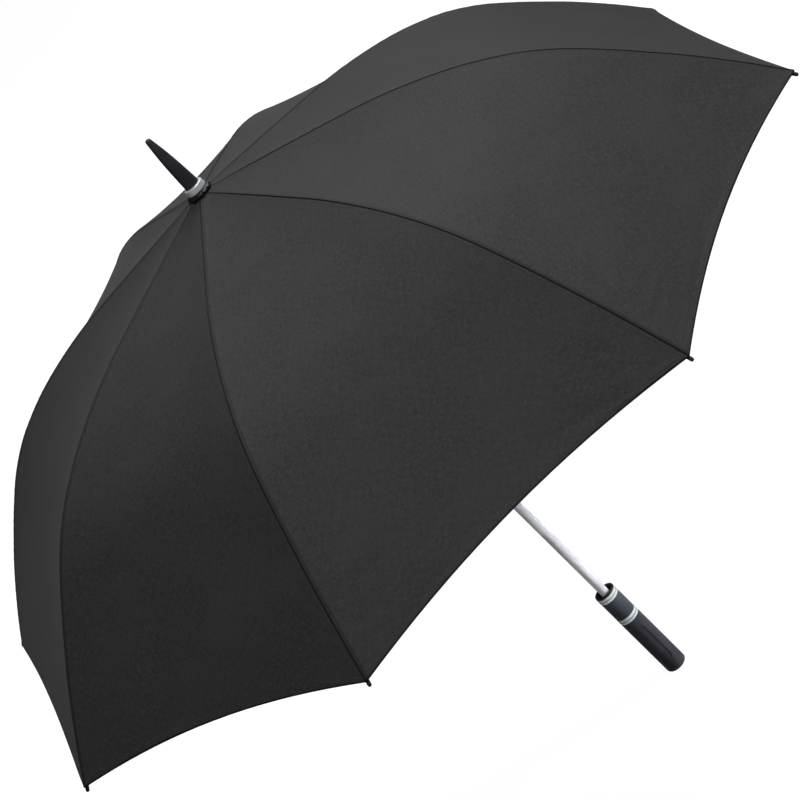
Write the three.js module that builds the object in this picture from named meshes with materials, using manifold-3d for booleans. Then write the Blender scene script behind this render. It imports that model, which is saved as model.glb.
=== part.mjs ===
// Automatic golf umbrella with eight ribs, shown open. Millimetres, +Z along the shaft from the handle's end
// face to the ferrule. Rib 0 points along +X and the ribs follow counterclockwise, seen from the ferrule.
import * as THREE from 'three';
import { mergeVertices } from 'three/addons/utils/BufferGeometryUtils.js';
import Module from 'manifold-3d';

const wasm = await Module();
wasm.setup();

// ---------- driving dimensions ----------
const GAP = 0.3;
const RIBS = 8;
const RIB_ANGLE = (2 * Math.PI) / RIBS;

// Fabric's outer surface along a rib, as radius and height.
const FABRIC_LINE = [
  [13, 924.5], [50, 918], [110, 907.5], [187, 893.5], [240, 883], [294, 868], [343.5, 850.5],
  [381, 833.5], [416, 814.5], [458, 784.5], [497.5, 749], [533, 714], [564.5, 681.5], [609, 631],
  [646, 585.5],
];
const FABRIC_THICK = 1;
const SAG_AT_HUB = 0.05; // depth of a gore below the straight line between its ribs, as a share of that line
const SAG_AT_HEM = 0.002;
const HEM_SCALLOP = 20.5;

const SHAFT_R = 6.2;
const SHAFT_WALL = 1;
const SHAFT_BOTTOM = 12;
const SHAFT_TOP = 950;
const BORE_R = SHAFT_R + GAP;
const SLOT_WIDTH = 3.4;
const BUTTON_AZIMUTH = THREE.MathUtils.degToRad(67.5);
const RECESS_AZIMUTH = THREE.MathUtils.degToRad(-109);

const CAP_SPAN = [925.1, 930.4];
const CAP_R = 18.2;
const CAP_LOBES = 12;
const CAP_NOTCH_R = 2;
const COLLAR_TOP = 939.2;
const FERRULE_TIP = 1019;

const SPRING_SEAT_TOP = 34;
const SPRING_R = 3.9;
const SPRING_WIRE_R = 0.6;
const SPRING_TURNS = 40;
const PUSHER_R = 4.9;
const PUSHER_BELOW = 32; // below the runner's wire
const PUSHER_SPAN = [-2.2, 3];
const TONGUE = [1.2, 2.2]; // half width and half height
const PUSHER_PLAY = 12; // the slot runs this far past the tongue at each end of its travel

const HINGE_R = 12; // the wires that carry the rib and stretcher ends
const WIRE_R = 0.75;
const CROWN_Z = 919;
const NOTCH_R = 17;
const NOTCH_ROOT_R = 8.7;
const NOTCH_WIDTH = 4;

const ROD_R = 1.65;
const RIB_DROP = 4.2; // rod centre below the fabric's outer surface
const EYE_R = 2.4;
const EYE_HOLE_R = 1.1;
const EYE_WIDTH = 3;
const ROD_END = 1.5; // past the fabric's corner
const TIP_R = 2.45;
const TIP_SPAN = [-4.6, 5.4]; // from under the fabric to past its corner

const JOINT_AT_R = 330; // radius where the stretcher meets its rib
const PIN_DROP = 6.5;
const PIN_R = 1;
const STRETCHER_R = 1.4;
const STRETCHER_LENGTH = 400;
const FOLD = THREE.MathUtils.degToRad(61); // how far a rib turns down as the umbrella closes

const GRIP_R = 15.2;
const GRIP_TOP = 101;
const RECESS_SIZE = [7.5, 64];
const RECESS_Z = 55.5;
const RECESS_FLOOR_R = 13.8;
const GRIP_BORE_R = 12.5;
const CORE_R = GRIP_BORE_R - GAP;
const CORE_TOP = 154;
const CUP_R = 11.5;
const CUP_FLOOR = 140;
const SLEEVE_R = 15;
const RING_R = 15.3;
const RING_HEIGHT = 8.2;
const BUTTON_Z = 124.5;
const BUTTON_SIZE = [8.8, 15.8];
const BUTTON_FACE_R = 16.2;
const ARM_SPAN = [8, 8.8]; // the button's arm, as radii
const ARM_WIDTH = 4;
const NOSE_SPAN = [149.8, 153.6];

const TAIL_R = 10.9;
const TAIL_BORE_R = 9.4;
const TAIL_LENGTH = 74.5;

// ---------- materials ----------
function paint(color, roughness, metalness = 0) {
  return new THREE.MeshStandardMaterial({ color, roughness, metalness });
}
const FABRIC = paint(0x2c2d30, 0.75);
const BLACK = paint(0x141416, 0.55);
const GRIP = paint(0x2b2c30, 0.85);
const SLATE = paint(0x3a3f4b, 0.6);
const RING = paint(0xb9bcc2, 0.45);
const FIBRE = paint(0x1b1b1d, 0.4);
const SATIN = paint(0xaeb0b8, 0.35, 0.9);
const STEEL = paint(0x9a9ca0, 0.3, 0.9);

const umbrella = new THREE.Group();
umbrella.name = 'golf_umbrella';

// ---------- solids ----------
function solid(geometry, matrix) {
  const bare = new THREE.BufferGeometry();
  bare.setAttribute('position', geometry.getAttribute('position').clone());
  if (geometry.index) bare.setIndex(geometry.index.clone());
  if (matrix) bare.applyMatrix4(matrix);
  const merged = mergeVertices(bare, 1e-3);
  const at = merged.getAttribute('position');
  const corner = (i) => new THREE.Vector3().fromBufferAttribute(at, i);
  const triangles = [];
  let volume = 0;
  for (let i = 0; i < merged.index.count; i += 3) {
    const [a, b, c] = [0, 1, 2].map((k) => merged.index.getX(i + k));
    if (a === b || b === c || c === a) continue;
    triangles.push([a, b, c]);
    volume += corner(a).dot(corner(b).cross(corner(c)));
  }
  const triVerts = Uint32Array.from(triangles.flatMap(([a, b, c]) => (volume > 0 ? [a, b, c] : [a, c, b])));
  const vertProperties = new Float32Array(at.array);
  return new wasm.Manifold(new wasm.Mesh({ numProp: 3, vertProperties, triVerts }));
}

function add(name, body, material) {
  const mesh = body.getMesh();
  const geometry = new THREE.BufferGeometry();
  geometry.setAttribute('position', new THREE.BufferAttribute(new Float32Array(mesh.vertProperties), 3));
  geometry.setIndex(new THREE.BufferAttribute(new Uint32Array(mesh.triVerts), 1));
  geometry.computeVertexNormals();
  const part = new THREE.Mesh(geometry, material);
  part.name = name;
  umbrella.add(part);
}

// A body turned about the Z axis from a closed profile of [radius, height].
function turned(profile, segments = 32) {
  const closed = profile[0][0] < 1e-6 ? profile : [...profile, profile[0]];
  const points = closed.map(([r, z]) => new THREE.Vector2(r, z));
  return solid(new THREE.LatheGeometry(points, segments), new THREE.Matrix4().makeRotationX(Math.PI / 2));
}

function ring(inner, outer, low, high, segments = 32) {
  return turned([[inner, low], [outer, low], [outer, high], [inner, high]], segments);
}

// A round wire bent into a ring about the Z axis.
function wireRing(radius, wireRadius, z) {
  const profile = [];
  for (let i = 0; i < 6; i += 1) {
    const a = (i * Math.PI) / 3;
    profile.push([radius + wireRadius * Math.cos(a), z + wireRadius * Math.sin(a)]);
  }
  return turned(profile, 32);
}

function box(x, y, z, matrix) {
  const geometry = new THREE.BoxGeometry(x[1] - x[0], y[1] - y[0], z[1] - z[0]);
  geometry.translate((x[0] + x[1]) / 2, (y[0] + y[1]) / 2, (z[0] + z[1]) / 2);
  return solid(geometry, matrix);
}

// A frame at a radius and height on one azimuth: X outward, Y along the tangent, Z up, then tilted about Y.
function place(azimuth, radius, z, tilt = 0) {
  return new THREE.Matrix4()
    .makeRotationZ(azimuth)
    .multiply(new THREE.Matrix4().makeTranslation(radius, 0, z))
    .multiply(new THREE.Matrix4().makeRotationY(tilt));
}

// A cylinder along the local Y axis of a frame.
function crossPin(radius, length, matrix, segments = 12) {
  return solid(new THREE.CylinderGeometry(radius, radius, length, segments), matrix);
}

// A cylinder along the local X axis of a frame, from one length to another.
function rod(radius, from, to, matrix, segments = 10) {
  const geometry = new THREE.CylinderGeometry(radius, radius, to - from, segments);
  geometry.rotateZ(-Math.PI / 2);
  geometry.translate((from + to) / 2, 0, 0);
  return solid(geometry, matrix);
}

function circle(radius, sides) {
  const points = [];
  for (let i = 0; i < sides; i += 1) {
    const a = ((i + 0.5) * 2 * Math.PI) / sides;
    points.push(new THREE.Vector2(radius * Math.cos(a), radius * Math.sin(a)));
  }
  return new THREE.Shape(points);
}

function swept(curve, radius, steps, sides) {
  return solid(new THREE.ExtrudeGeometry(circle(radius, sides), { steps, extrudePath: curve }));
}

// A rectangle with rounded corners, drawn about the origin.
function roundedRectangle(width, height, radius) {
  const [x, y] = [width / 2 - radius, height / 2 - radius];
  const shape = new THREE.Shape();
  shape.absarc(x, y, radius, 0, Math.PI / 2);
  shape.absarc(-x, y, radius, Math.PI / 2, Math.PI);
  shape.absarc(-x, -y, radius, Math.PI, 1.5 * Math.PI);
  shape.absarc(x, -y, radius, 1.5 * Math.PI, 2 * Math.PI);
  return shape;
}

// A rounded block that runs outward from one radius to another, its height along Z.
function radialBlock(width, height, corner, azimuth, z, from, to) {
  const shape = roundedRectangle(width, height, corner);
  const options = { depth: to - from, bevelEnabled: false, curveSegments: 4 };
  const geometry = new THREE.ExtrudeGeometry(shape, options);
  const outward = new THREE.Matrix4().makeBasis(
    new THREE.Vector3(0, 1, 0),
    new THREE.Vector3(0, 0, 1),
    new THREE.Vector3(1, 0, 0),
  );
  return solid(geometry, place(azimuth, from, z).multiply(outward));
}

class Helix extends THREE.Curve {
  constructor(radius, length, turns) {
    super();
    Object.assign(this, { radius, length, turns });
  }

  getPoint(t, target = new THREE.Vector3()) {
    const a = t * this.turns * 2 * Math.PI;
    return target.set(this.radius * Math.cos(a), this.radius * Math.sin(a), t * this.length);
  }
}

// ---------- linkage ----------
const fabricCurve = new THREE.CatmullRomCurve3(FABRIC_LINE.map(([r, z]) => new THREE.Vector3(r, 0, z)));
fabricCurve.arcLengthDivisions = 400;
const FABRIC_LENGTH = fabricCurve.getLength();

// Point on a rib's plane at an arc length of the fabric line, a depth below the fabric.
function onRib(length, depth) {
  const u = Math.min(length / FABRIC_LENGTH, 1);
  const p = fabricCurve.getPointAt(u);
  const t = fabricCurve.getTangentAt(u);
  return { r: p.x + t.z * depth, z: p.z - t.x * depth, tilt: Math.atan2(-t.z, t.x) };
}

let jointLength = 0;
while (onRib(jointLength, RIB_DROP).r < JOINT_AT_R) jointLength += 0.5;
const joint = onRib(jointLength, RIB_DROP);
const pin = onRib(jointLength, RIB_DROP + PIN_DROP);
const runnerBelow = (r, z) => z - Math.sqrt(STRETCHER_LENGTH ** 2 - (r - HINGE_R) ** 2);
const RUNNER_Z = runnerBelow(pin.r, pin.z);
const [pinOut, pinUp] = [pin.r - HINGE_R, pin.z - CROWN_Z];
const CLOSED_Z = runnerBelow(
  HINGE_R + pinOut * Math.cos(FOLD) + pinUp * Math.sin(FOLD),
  CROWN_Z - pinOut * Math.sin(FOLD) + pinUp * Math.cos(FOLD),
);
const TRAVEL = RUNNER_Z - CLOSED_Z;

// ---------- shaft ----------
const PUSHER_Z = RUNNER_Z - PUSHER_BELOW;
const onButtonSide = place(BUTTON_AZIMUTH, 0, 0);
const slotEnds = [PUSHER_Z - TRAVEL - PUSHER_PLAY, PUSHER_Z + PUSHER_PLAY];
const shaftSlot = box([2, SHAFT_R + 2], [-SLOT_WIDTH / 2, SLOT_WIDTH / 2], slotEnds, onButtonSide);
add('shaft_tube', ring(SHAFT_R - SHAFT_WALL, SHAFT_R, SHAFT_BOTTOM, SHAFT_TOP).subtract(shaftSlot), SATIN);

const seatStem = SPRING_R - SPRING_WIRE_R - 0.7;
add('spring_seat', turned([
  [0, SPRING_SEAT_TOP - 6], [PUSHER_R, SPRING_SEAT_TOP - 6], [PUSHER_R, SPRING_SEAT_TOP],
  [seatStem, SPRING_SEAT_TOP], [seatStem, SPRING_SEAT_TOP + 5], [0, SPRING_SEAT_TOP + 5],
], 24), STEEL);

const springLow = SPRING_SEAT_TOP + SPRING_WIRE_R + 3 * GAP;
const springLength = PUSHER_Z + PUSHER_SPAN[0] - SPRING_WIRE_R - GAP - springLow;
const springCoil = swept(new Helix(SPRING_R, springLength, SPRING_TURNS), SPRING_WIRE_R, 8 * SPRING_TURNS, 4);
add('main_spring', springCoil.translate([0, 0, springLow]), STEEL);

const [pusherLow, pusherHigh] = PUSHER_SPAN.map((z) => z + PUSHER_Z);
const [tongueHalfWidth, tongueHalfHeight] = TONGUE;
const tongue = box(
  [0, SHAFT_R + 2.2],
  [-tongueHalfWidth, tongueHalfWidth],
  [PUSHER_Z - tongueHalfHeight, PUSHER_Z + tongueHalfHeight],
  onButtonSide,
);
const pusher = turned([[0, pusherLow], [PUSHER_R, pusherLow], [PUSHER_R, pusherHigh], [0, pusherHigh]], 24);
add('spring_pusher', pusher.add(tongue), STEEL);

// ---------- crown and the parts on top of the canopy ----------
function notches(body, low, high) {
  let cut = body;
  for (let i = 0; i < RIBS; i += 1) {
    const half = NOTCH_WIDTH / 2;
    const slot = box([NOTCH_ROOT_R, NOTCH_R + 4], [-half, half], [low, high], place(i * RIB_ANGLE, 0, 0));
    cut = cut.subtract(slot);
  }
  return cut;
}
const crownBody = turned([
  [BORE_R, 898], [8.4, 898], [8.4, 911], [NOTCH_R - 1, 911], [NOTCH_R, 912], [NOTCH_R, 921.5],
  [BORE_R, 921.5],
]);
const wireGroove = WIRE_R + GAP;
add('crown', notches(crownBody, 910, 923).subtract(wireRing(HINGE_R, wireGroove, CROWN_Z)), BLACK);
add('crown_wire', wireRing(HINGE_R, WIRE_R, CROWN_Z), STEEL);

const [capLow, capHigh] = CAP_SPAN;
let capBody = turned([
  [BORE_R, capLow], [CAP_R - 0.6, capLow], [CAP_R, capLow + 0.7], [CAP_R - 0.2, capLow + 2.5],
  [CAP_R - 4, capHigh], [BORE_R, capHigh],
], 36);
for (let i = 0; i < CAP_LOBES; i += 1) {
  const notch = new THREE.CylinderGeometry(CAP_NOTCH_R, CAP_NOTCH_R, 8, 8);
  notch.rotateX(Math.PI / 2);
  const azimuth = ((i + 0.5) * 2 * Math.PI) / CAP_LOBES;
  capBody = capBody.subtract(solid(notch, place(azimuth, CAP_R + 0.5, capLow + 2.5)));
}
add('canopy_cap', capBody, BLACK);

const collarLow = capHigh + GAP;
add('ferrule_collar', turned([
  [BORE_R, collarLow], [13.6, collarLow], [14, collarLow + 0.6], [13.5, COLLAR_TOP - 1],
  [12.6, COLLAR_TOP], [BORE_R, COLLAR_TOP],
]), SATIN);

const ferruleLow = COLLAR_TOP + GAP;
add('ferrule', turned([
  [0, SHAFT_TOP + 2], [BORE_R, SHAFT_TOP + 2], [BORE_R, ferruleLow], [9.8, ferruleLow],
  [10.1, ferruleLow + 0.5], [9.7, ferruleLow + 10.8], [9, ferruleLow + 24.5], [8.2, ferruleLow + 37.5],
  [7, FERRULE_TIP - 27.5], [5.4, FERRULE_TIP - 13.7], [4.1, FERRULE_TIP - 3.4], [3.6, FERRULE_TIP - 1],
  [2.5, FERRULE_TIP], [0, FERRULE_TIP],
], 32), BLACK);

// ---------- ribs, joints, tips and stretchers ----------
function ribCurve() {
  const points = [new THREE.Vector3(HINGE_R + 1.4, 0, CROWN_Z), new THREE.Vector3(28, 0, 918.2)];
  for (let i = 1; i < 16; i += 1) {
    const p = onRib(45 + ((FABRIC_LENGTH - 45) * i) / 15, RIB_DROP);
    points.push(new THREE.Vector3(p.r, 0, p.z));
  }
  const last = onRib(FABRIC_LENGTH, RIB_DROP);
  const [out, down] = [ROD_END * Math.cos(last.tilt), ROD_END * Math.sin(last.tilt)];
  points.push(new THREE.Vector3(last.r + out, 0, last.z - down));
  return new THREE.CatmullRomCurve3(points);
}
const ribRod = swept(ribCurve(), ROD_R, 20, 6);
const ribEnd = onRib(FABRIC_LENGTH, RIB_DROP);

function turnTo(body, azimuth) {
  return body.rotate([0, 0, THREE.MathUtils.radToDeg(azimuth)]);
}

const hubEye = place(0, HINGE_R, CROWN_Z);
const rib = ribRod
  .add(crossPin(EYE_R, EYE_WIDTH, hubEye))
  .subtract(crossPin(EYE_HOLE_R, EYE_WIDTH + 2, hubEye));

// The joint snaps over the rod from below and holds the stretcher's eye between two cheeks.
const jointFrame = () => place(0, joint.r, joint.z, joint.tilt);
const pinFrame = () => place(0, pin.r, pin.z);
const CHEEK = 3.9;
const jointBody = box([-6, 6], [-CHEEK, CHEEK], [-9.3, 0.7], jointFrame())
  .subtract(box([-8, 8], [-1.8, 1.8], [-11, -3.4], jointFrame()))
  .subtract(rod(ROD_R + GAP, -8, 8, jointFrame()))
  .add(crossPin(PIN_R, 2 * CHEEK, pinFrame()));

const tipFrame = () => place(0, ribEnd.r, ribEnd.z, ribEnd.tilt);
const [tipLow, tipHigh] = TIP_SPAN;
const tipProfile = [
  [ROD_R + GAP, tipLow], [TIP_R, tipLow], [TIP_R, tipHigh - 1.4], [TIP_R - 1, tipHigh],
  [0, tipHigh], [0, ROD_END + GAP], [ROD_R + GAP, ROD_END + GAP],
];
const tipTurned = solid(
  new THREE.LatheGeometry([...tipProfile, tipProfile[0]].map(([r, x]) => new THREE.Vector2(r, x)), 12),
  tipFrame().multiply(new THREE.Matrix4().makeRotationZ(-Math.PI / 2)),
);

// The stretcher passes under the runner's wire and ends in a lip. The wire leaves it upward as the umbrella
// folds.
const run = new THREE.Vector2(pin.r - HINGE_R, pin.z - RUNNER_Z).normalize();
const stretcherTilt = -Math.atan2(run.y, run.x);
const endFrame = () => place(0, HINGE_R, RUNNER_Z, stretcherTilt);
const UNDER_WIRE = -(WIRE_R + GAP + STRETCHER_R);
const lean = Math.atan2(-UNDER_WIRE, STRETCHER_LENGTH);
const rodFrame = place(0, HINGE_R, RUNNER_Z, stretcherTilt)
  .multiply(new THREE.Matrix4().makeTranslation(0, 0, UNDER_WIRE))
  .multiply(new THREE.Matrix4().makeRotationY(-lean));
const stretcher = rod(STRETCHER_R, -3, STRETCHER_LENGTH - 1.9, rodFrame)
  .add(box([-3, -1.3], [-1.2, 1.2], [UNDER_WIRE, 0.2], endFrame()))
  .add(crossPin(EYE_R, EYE_WIDTH, pinFrame()))
  .subtract(crossPin(PIN_R + GAP, EYE_WIDTH + 2, pinFrame()));

// ---------- canopy ----------
const ACROSS = 4;
const ALONG = 12;

// Point on a gore: along runs from hub to hem, across from rib to rib, depth is below the outer surface.
function onGore(along, across, depth) {
  const bow = 4 * across * (1 - across);
  const p = onRib(along * (FABRIC_LENGTH - HEM_SCALLOP * bow), 0);
  const chord = 2 * p.r * Math.sin(RIB_ANGLE / 2);
  const sag = (SAG_AT_HUB + (SAG_AT_HEM - SAG_AT_HUB) * along) * chord * bow;
  const inward = sag + depth;
  const radius = p.r * Math.cos(RIB_ANGLE / 2) - Math.sin(p.tilt) * inward;
  const edge = (p.r * Math.cos(RIB_ANGLE / 2) - Math.sin(p.tilt) * depth) * Math.tan(RIB_ANGLE / 2) - GAP;
  return new THREE.Vector3(radius, (2 * across - 1) * edge, p.z - Math.cos(p.tilt) * inward);
}

const slab = new THREE.BoxGeometry(1, 1, 1, ACROSS, ALONG, 1);
const slabAt = slab.getAttribute('position');
for (let i = 0; i < slabAt.count; i += 1) {
  const p = onGore(slabAt.getY(i) + 0.5, slabAt.getX(i) + 0.5, (0.5 - slabAt.getZ(i)) * FABRIC_THICK);
  slabAt.setXYZ(i, p.x, p.y, p.z);
}
const gore = solid(slab);

for (let i = 0; i < RIBS; i += 1) {
  const azimuth = i * RIB_ANGLE;
  add(`rib_${i}`, turnTo(rib, azimuth), FIBRE);
  add(`rib_joint_${i}`, turnTo(jointBody, azimuth), BLACK);
  add(`rib_tip_${i}`, turnTo(tipTurned, azimuth), BLACK);
  add(`stretcher_${i}`, turnTo(stretcher, azimuth), FIBRE);
  add(`canopy_gore_${i}`, turnTo(gore, azimuth + RIB_ANGLE / 2), FABRIC);
}

// ---------- runner ----------
const runnerProfile = [
  [BORE_R, 14], [8.6, 14], [9.2, 13], [9.2, 5], [NOTCH_R - 1, 5], [NOTCH_R, 4], [NOTCH_R, -4],
  [NOTCH_R - 1, -5], [9.2, -5], [9.2, -44], [12.4, -45], [12.4, -47.5], [TAIL_R, -48.5],
  [TAIL_R, -TAIL_LENGTH],
  [TAIL_BORE_R, -TAIL_LENGTH], [TAIL_BORE_R, -50], [BORE_R, -50],
].map(([r, z]) => [r, z + RUNNER_Z]);
const noseOnRunner = NOSE_SPAN.map((z) => z - CLOSED_Z + RUNNER_Z);
const catchWindow = box([8, 13], [-3.2, 3.2], [noseOnRunner[0] - GAP, noseOnRunner[1] + GAP], onButtonSide);
const tonguePocket = box(
  [5, 8.7],
  [-tongueHalfWidth - GAP, tongueHalfWidth + GAP],
  [PUSHER_Z - tongueHalfHeight - GAP, PUSHER_Z + tongueHalfHeight + GAP],
  onButtonSide,
);
const runner = notches(turned(runnerProfile), RUNNER_Z - 7, RUNNER_Z + 5.01)
  .subtract(wireRing(HINGE_R, wireGroove, RUNNER_Z))
  .subtract(catchWindow)
  .subtract(tonguePocket);
add('runner', runner, BLACK);
add('runner_wire', wireRing(HINGE_R, WIRE_R, RUNNER_Z), STEEL);

// ---------- handle ----------
const [buttonWidth, buttonHeight] = BUTTON_SIZE;
const windowSize = [buttonWidth + 2 * GAP, buttonHeight + 2 * GAP];
const windowCut = radialBlock(...windowSize, 4.2, BUTTON_AZIMUTH, BUTTON_Z, 4, 20);
const armChannel = box([5, 9.5], [-2.9, 2.9], [130, CUP_FLOOR + 1], onButtonSide);
const core = turned([
  [BORE_R, 8], [CORE_R, 8], [CORE_R, 151.6], [14.9, 151.6], [14.9, 153.4], [14.3, CORE_TOP], [12, CORE_TOP],
  [CUP_R, 153.4], [CUP_R, CUP_FLOOR], [BORE_R, CUP_FLOOR],
]);
add('handle_core', core.subtract(windowCut).subtract(armChannel), BLACK);

const grip = turned([
  [0, 0], [10.2, 0], [12.7, 0.6], [14.5, 2.3], [GRIP_R, 4.8], [GRIP_R, GRIP_TOP - 0.4],
  [GRIP_R - 0.4, GRIP_TOP], [GRIP_BORE_R, GRIP_TOP], [GRIP_BORE_R, 7.6], [0, 7.6],
], 48);
const recess = radialBlock(...RECESS_SIZE, 3.74, RECESS_AZIMUTH, RECESS_Z, RECESS_FLOOR_R, 18);
add('handle_grip', grip.subtract(recess), GRIP);

function trimRing(low) {
  const mid = low + RING_HEIGHT / 2;
  return turned([
    [GRIP_BORE_R, low], [RING_R - 0.4, low], [RING_R, low + 0.4], [RING_R, mid - 0.65],
    [RING_R - 0.8, mid - 0.4], [RING_R - 0.8, mid + 0.4], [RING_R, mid + 0.65],
    [RING_R, low + RING_HEIGHT - 0.4], [RING_R - 0.4, low + RING_HEIGHT],
    [GRIP_BORE_R, low + RING_HEIGHT],
  ], 36);
}
const LOWER_RING = GRIP_TOP + GAP;
const SLEEVE_LOW = LOWER_RING + RING_HEIGHT + GAP;
const UPPER_RING = 151.3 - RING_HEIGHT;
add('ring_lower', trimRing(LOWER_RING), RING);
add('ring_upper', trimRing(UPPER_RING), RING);
add('mid_sleeve', ring(GRIP_BORE_R, SLEEVE_R, SLEEVE_LOW, UPPER_RING - GAP, 40).subtract(windowCut), SLATE);

// The button carries an arm whose nose catches the folded runner's tail from inside.
const springPocket = rod(2.4, 7, 12.6, place(BUTTON_AZIMUTH, 0, BUTTON_Z));
const buttonBlock = radialBlock(buttonWidth, buttonHeight, 4, BUTTON_AZIMUTH, BUTTON_Z, 8, 18)
  .intersect(turned([[0, 100], [BUTTON_FACE_R, 100], [BUTTON_FACE_R, 140], [0, 140]], 40))
  .add(box(ARM_SPAN, [-ARM_WIDTH / 2, ARM_WIDTH / 2], [BUTTON_Z, CORE_TOP], onButtonSide))
  .add(box([ARM_SPAN[0] + 0.5, ARM_SPAN[1] + 1.4], [-ARM_WIDTH / 2, ARM_WIDTH / 2], NOSE_SPAN, onButtonSide))
  .subtract(springPocket);
add('release_button', buttonBlock, BLACK);
const buttonPath = new Helix(1.7, 5, 4);
const buttonCoil = new THREE.ExtrudeGeometry(circle(0.3, 5), { steps: 32, extrudePath: buttonPath });
buttonCoil.rotateY(Math.PI / 2);
add('button_spring', solid(buttonCoil, place(BUTTON_AZIMUTH, 6.85, BUTTON_Z)), STEEL);

export default umbrella;
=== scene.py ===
import math

import bpy
import numpy as np
from mathutils import Matrix, Vector


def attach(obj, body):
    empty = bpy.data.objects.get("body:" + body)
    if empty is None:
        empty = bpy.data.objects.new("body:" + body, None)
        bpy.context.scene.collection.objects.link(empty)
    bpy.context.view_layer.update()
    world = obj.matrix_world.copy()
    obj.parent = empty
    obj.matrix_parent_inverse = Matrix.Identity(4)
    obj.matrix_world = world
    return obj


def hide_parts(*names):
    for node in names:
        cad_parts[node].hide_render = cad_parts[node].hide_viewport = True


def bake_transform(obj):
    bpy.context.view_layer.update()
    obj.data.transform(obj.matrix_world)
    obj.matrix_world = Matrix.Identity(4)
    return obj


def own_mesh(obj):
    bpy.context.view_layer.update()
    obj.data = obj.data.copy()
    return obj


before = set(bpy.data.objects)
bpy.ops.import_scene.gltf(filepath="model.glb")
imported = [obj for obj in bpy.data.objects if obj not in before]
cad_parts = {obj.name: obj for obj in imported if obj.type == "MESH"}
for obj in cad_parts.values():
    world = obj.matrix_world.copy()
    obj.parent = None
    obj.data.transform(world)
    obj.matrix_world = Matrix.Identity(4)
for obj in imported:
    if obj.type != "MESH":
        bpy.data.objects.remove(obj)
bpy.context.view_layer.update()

MM = 0.001
RIBS = 8
RIB_ANGLE = 2 * math.pi / RIBS
HALF_ANGLE = RIB_ANGLE / 2

# ---------- dimensions, in millimetres ----------
# Fabric's outer surface along a rib, as radius and height.
FABRIC_LINE = [
    (13, 924.5), (50, 918), (110, 907.5), (187, 893.5), (240, 883), (294, 868), (343.5, 850.5), (381, 833.5),
    (416, 814.5), (458, 784.5), (497.5, 749), (533, 714), (564.5, 681.5), (609, 631), (646, 585.5),
]
SAG_AT_HUB = 0.05
SAG_AT_HEM = 0.002
HEM_SCALLOP = 20.5
CLOTH = 0.45
SEAM_BAND = 5.6
SEAM_RISE = 0.55
HEM_BAND = 7
HEM_RISE = 0.3

SHAFT_R = 6.2
SHAFT_BORE_R = 5.2
BUTTON_AZIMUTH = math.radians(67.5)
RECESS_AZIMUTH = math.radians(-109)
HINGE_R = 12
WIRE_R = 0.75
GAP = 0.3
CROWN_Z = 919
BORE_R = 6.5
RIB_DROP = 4.2
ROD_R = 1.65
ROD_END = 1.5
TIP_R = 2.45
TIP_LOW, TIP_HIGH = -4.6, 5.4
STRETCHER_R = 1.4
STRETCHER_LENGTH = 400
JOINT_AT_R = 330
PIN_DROP = 6.5
EYE_R = 2.4
EYE_WIDTH = 3
NOTCH_R = 17
NOTCH_ROOT_R = 8.7
NOTCH_WIDTH = 4
GRIP_R = 15.2
BUTTON_Z = 124.5
NOSE_SPAN = (149.8, 153.6)


# ---------- mesh making ----------
def link(name, vertices, faces):
    mesh = bpy.data.meshes.new(name)
    mesh.from_pydata([tuple(v) for v in np.asarray(vertices, float) * MM], [], faces)
    mesh.validate()
    obj = bpy.data.objects.new(name, mesh)
    bpy.context.scene.collection.objects.link(obj)
    return obj


def smooth(obj, angle=32):
    obj.data.shade_smooth()
    obj.data.set_sharp_from_angle(angle=math.radians(angle))
    return obj


def soften(profile, radius, steps=4, closed=True):
    """Rounds each corner of a profile of points by up to radius. Points on the axis stay."""
    points = [np.array(p, float) for p in profile]
    count = len(points)
    out = []
    for i, p in enumerate(points):
        at_end = not closed and i in (0, count - 1)
        if at_end or p[0] < 1e-6:
            out.append(p)
            continue
        before, after = points[i - 1] - p, points[(i + 1) % count] - p
        lengths = np.linalg.norm(before), np.linalg.norm(after)
        reach = min(radius, 0.45 * lengths[0], 0.45 * lengths[1])
        a, b = p + before / lengths[0] * reach, p + after / lengths[1] * reach
        for k in range(steps + 1):
            t = k / steps
            out.append((1 - t) ** 2 * a + 2 * t * (1 - t) * p + t * t * b)
    return out


def turned(name, profile, segments=96, radius_at=None):
    """A body turned about Z from a closed profile. radius_at(r, z, azimuth) may change a radius."""
    profile = [tuple(p) for p in profile]
    azimuths = segments if not isinstance(segments, int) else np.arange(segments) * 2 * math.pi / segments
    count = len(azimuths)
    vertices, rows = [], []
    for r, z in profile:
        if r < 1e-6:
            rows.append([len(vertices)] * count)
            vertices.append((0, 0, z))
            continue
        rows.append(list(range(len(vertices), len(vertices) + count)))
        for a in azimuths:
            rr = radius_at(r, z, a) if radius_at else r
            vertices.append((rr * math.cos(a), rr * math.sin(a), z))
    on_axis = profile[0][0] < 1e-6 and profile[-1][0] < 1e-6
    faces = []
    for k in range(len(rows) - 1 if on_axis else len(rows)):
        low, high = rows[k], rows[(k + 1) % len(rows)]
        for i in range(count):
            j = (i + 1) % count
            face = [low[i], low[j], high[j], high[i]]
            faces.append([v for n, v in enumerate(face) if v != face[n - 1]])
    return outward(link(name, vertices, faces))


def outward(obj):
    """Turns all faces of a closed mesh outward."""
    mesh = obj.data
    volume = 0.0
    for polygon in mesh.polygons:
        corners = [mesh.vertices[i].co for i in polygon.vertices]
        for k in range(1, len(corners) - 1):
            volume += corners[0].dot(corners[k].cross(corners[k + 1]))
    if volume < 0:
        mesh.flip_normals()
    return obj


def tube_faces(rings, sides):
    """Faces of a tube whose vertices lie ring after ring, with both ends closed."""
    faces = []
    for k in range(rings - 1):
        for i in range(sides):
            j = (i + 1) % sides
            faces.append((k * sides + i, k * sides + j, (k + 1) * sides + j, (k + 1) * sides + i))
    faces.append(tuple(range(sides))[::-1])
    faces.append(tuple((rings - 1) * sides + i for i in range(sides)))
    return faces


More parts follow.
